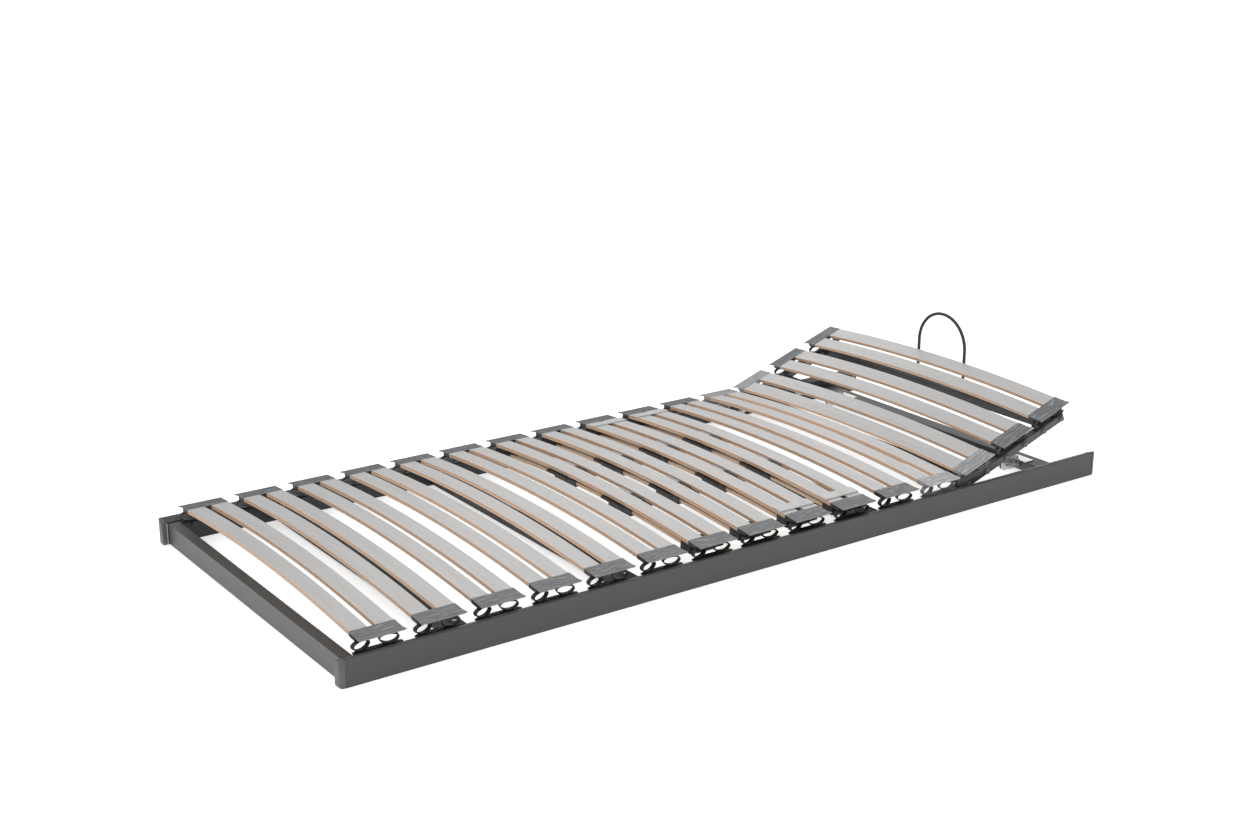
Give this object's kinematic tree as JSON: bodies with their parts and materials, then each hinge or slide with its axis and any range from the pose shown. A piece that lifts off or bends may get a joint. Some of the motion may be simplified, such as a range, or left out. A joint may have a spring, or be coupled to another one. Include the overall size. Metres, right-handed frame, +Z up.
{
  "type": "adjustable slatted bed base",
  "caption": "Flat slatted bed base: crowned slat pairs in caps on elastomer loops, firmness sliders, a head section on ratchets and a mattress retainer hoop.",
  "frame": {"origin": "centre of the footprint, on the floor plane under the side rails", "axes": "+X along the base to the head end, +Y across it, +Z up"},
  "size_m": [2, 0.872, 0.3221],
  "materials": {
    "rail_foil": "dark grey decor foil over laminated wood, fine satin",
    "end_cap_grey": "moulded cap, satin",
    "cross_member_foil": "grey decor foil over laminated wood",
    "cross_bar_black": "black foil over laminated wood",
    "fitting_steel": "zinc plated",
    "pivot_steel": "zinc plated",
    "slat_laminate": "warm grey foil faces, bare beech laminate edges",
    "under_slat_laminate": "grey foil faces, bare beech laminate edges",
    "cap_dark_grey": "moulded, wave relief on top",
    "cap_light_grey": "moulded, wave relief on top",
    "elastomer_black": "flexible elastomer",
    "elastomer_grey": "flexible elastomer",
    "hanger_black": "moulded",
    "bridge_light_grey": "moulded flat strip",
    "latch_black": "moulded",
    "slider_charcoal": "moulded, grip ribs",
    "head_rail_foil": "dark foil over laminated wood",
    "head_bar_black": "black foil over laminated wood",
    "hinge_steel": "zinc plated plate",
    "knob_grey": "moulded peg end",
    "bracket_steel": "zinc plated plate",
    "rack_steel": "zinc plated plate",
    "prop_steel": "zinc plated flat bar",
    "clamp_black": "moulded",
    "hoop_black": "black powder coat, satin"
  },
  "bodies": {
    "base_frame": {"side_rail_near": "rail_foil", "side_rail_far": "rail_foil", "rail_end_caps": "end_cap_grey", "foot_cross_member": "cross_member_foil", "head_cross_member": "cross_member_foil", "cross_bar_calf": "cross_bar_black", "cross_bar_thigh": "cross_bar_black", "cross_bar_lumbar": "cross_bar_black", "frame_fittings": "fitting_steel", "pivot_bolts": "pivot_steel", "slat_pair_01": "slat_laminate", "slat_pair_02": "slat_laminate", "slat_pair_03": "slat_laminate", "slat_pair_04": "slat_laminate", "slat_pair_05": "slat_laminate", "slat_pair_06": "slat_laminate", "slat_pair_07": "slat_laminate", "slat_pair_08": "slat_laminate", "slat_pair_09": "slat_laminate", "slat_pair_10": "slat_laminate", "slat_pair_11": "slat_laminate", "slat_pair_12": "slat_laminate", "under_slats": "under_slat_laminate", "double_caps_near": "cap_dark_grey", "loop_bearings_near": "elastomer_black", "double_caps_far": "cap_dark_grey", "loop_bearings_far": "elastomer_black", "neck_caps_base": "cap_light_grey", "neck_loops_base": "elastomer_grey", "under_slat_hangers": "hanger_black", "shoulder_bridges": "bridge_light_grey", "shoulder_latches": "latch_black", "ratchet_racks": "rack_steel"},
    "head_section": {"head_side_rail_near": "head_rail_foil", "head_side_rail_far": "head_rail_foil", "head_cross_bar_pivot": "head_bar_black", "head_cross_bar_mid": "head_bar_black", "head_cross_bar_top": "head_bar_black", "head_hinges": "hinge_steel", "slat_pair_13": "slat_laminate", "slat_pair_14": "slat_laminate", "slat_pair_15": "slat_laminate", "neck_caps_head": "cap_light_grey", "head_caps": "cap_dark_grey", "neck_loops_head": "elastomer_grey", "head_loop_bearings": "elastomer_black", "bearing_knobs": "knob_grey", "ratchet_brackets": "bracket_steel", "retainer_clamps": "clamp_black", "mattress_retainer": "hoop_black"},
    "prop_near": {"ratchet_prop_near": "prop_steel"},
    "prop_far": {"ratchet_prop_far": "prop_steel"},
    "body_slider_07_near": {"slider_07_near": "slider_charcoal"},
    "body_slider_07_far": {"slider_07_far": "slider_charcoal"},
    "body_slider_08_near": {"slider_08_near": "slider_charcoal"},
    "body_slider_08_far": {"slider_08_far": "slider_charcoal"},
    "body_slider_09_near": {"slider_09_near": "slider_charcoal"},
    "body_slider_09_far": {"slider_09_far": "slider_charcoal"},
    "body_slider_10_near": {"slider_10_near": "slider_charcoal"},
    "body_slider_10_far": {"slider_10_far": "slider_charcoal"}
  },
  "joints": [
    {"name": "head_tilt", "type": "hinge", "parent": "base_frame", "child": "head_section", "pos_m": [0.575, 0, 0.028], "axis": [0, -1, 0], "range_deg": [-18.9, 9]},
    {"name": "prop_swing_near", "type": "hinge", "parent": "head_section", "child": "prop_near", "pos_m": [0.70809, -0.314, 0.07145], "axis": [0, -1, 0], "range_deg": [-18.2, 38]},
    {"name": "prop_swing_far", "type": "hinge", "parent": "head_section", "child": "prop_far", "pos_m": [0.70809, 0.314, 0.07145], "axis": [0, -1, 0], "range_deg": [-18.2, 38]},
    {"name": "slider_07_near_travel", "type": "slide", "parent": "base_frame", "child": "body_slider_07_near", "axis": [0, 0.9997, 0.0251], "range_m": [-0.055, 0.055]},
    {"name": "slider_07_far_travel", "type": "slide", "parent": "base_frame", "child": "body_slider_07_far", "axis": [0, 0.9997, -0.0251], "range_m": [-0.055, 0.055]},
    {"name": "slider_08_near_travel", "type": "slide", "parent": "base_frame", "child": "body_slider_08_near", "axis": [0, 0.9997, 0.0251], "range_m": [-0.055, 0.055]},
    {"name": "slider_08_far_travel", "type": "slide", "parent": "base_frame", "child": "body_slider_08_far", "axis": [0, 0.9997, -0.0251], "range_m": [-0.055, 0.055]},
    {"name": "slider_09_near_travel", "type": "slide", "parent": "base_frame", "child": "body_slider_09_near", "axis": [0, 0.9997, 0.0251], "range_m": [-0.055, 0.055]},
    {"name": "slider_09_far_travel", "type": "slide", "parent": "base_frame", "child": "body_slider_09_far", "axis": [0, 0.9997, -0.0251], "range_m": [-0.055, 0.055]},
    {"name": "slider_10_near_travel", "type": "slide", "parent": "base_frame", "child": "body_slider_10_near", "axis": [0, 0.9997, 0.0251], "range_m": [-0.055, 0.055]},
    {"name": "slider_10_far_travel", "type": "slide", "parent": "base_frame", "child": "body_slider_10_far", "axis": [0, 0.9997, -0.0251], "range_m": [-0.055, 0.055]}
  ],
  "couplings": [
    {"joint": "prop_swing_near", "follows": "head_tilt", "ratio": -2},
    {"joint": "prop_swing_far", "follows": "head_tilt", "ratio": -2}
  ]
}
